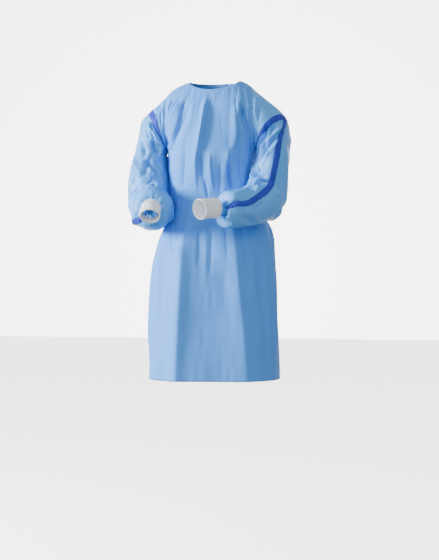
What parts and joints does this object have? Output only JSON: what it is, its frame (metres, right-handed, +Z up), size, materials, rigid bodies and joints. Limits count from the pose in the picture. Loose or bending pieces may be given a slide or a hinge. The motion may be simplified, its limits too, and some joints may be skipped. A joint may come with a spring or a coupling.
{
  "type": "disposable isolation gown",
  "caption": "Disposable isolation gown, worn and hollow, with long taped sleeves bent forward at the elbows, knit cuffs, and a back that laps and ties at the waist.",
  "frame": {"origin": "middle of the wearer's shoulders at the base of the neck, where the gown hangs", "axes": "+Z up, the gown's front faces -Y, the wearer's left is +X"},
  "size_m": [0.5031, 0.4704, 0.9213],
  "materials": {
    "body_cloth": "matte nonwoven",
    "sleeve_film": "satin film laminated nonwoven",
    "seam_tape": "satin heat sealed tape",
    "cuff_knit": "matte rib knit",
    "tie_cloth": "matte nonwoven"
  },
  "bodies": {
    "root": {"front": "body_cloth", "back_left": "body_cloth", "back_right": "body_cloth", "shoulder_cap_left": "sleeve_film", "shoulder_cap_right": "sleeve_film", "sleeve_left": "sleeve_film", "sleeve_right": "sleeve_film", "armhole_tape_left": "seam_tape", "armhole_tape_right": "seam_tape", "sleeve_tape_left": "seam_tape", "sleeve_tape_right": "seam_tape", "cuff_left": "cuff_knit", "cuff_right": "cuff_knit", "waist_tie_left": "tie_cloth", "waist_tie_right": "tie_cloth", "tie_knot": "tie_cloth", "tie_end_left": "tie_cloth", "tie_end_right": "tie_cloth", "neck_tab": "tie_cloth"}
  },
  "joints": []
}
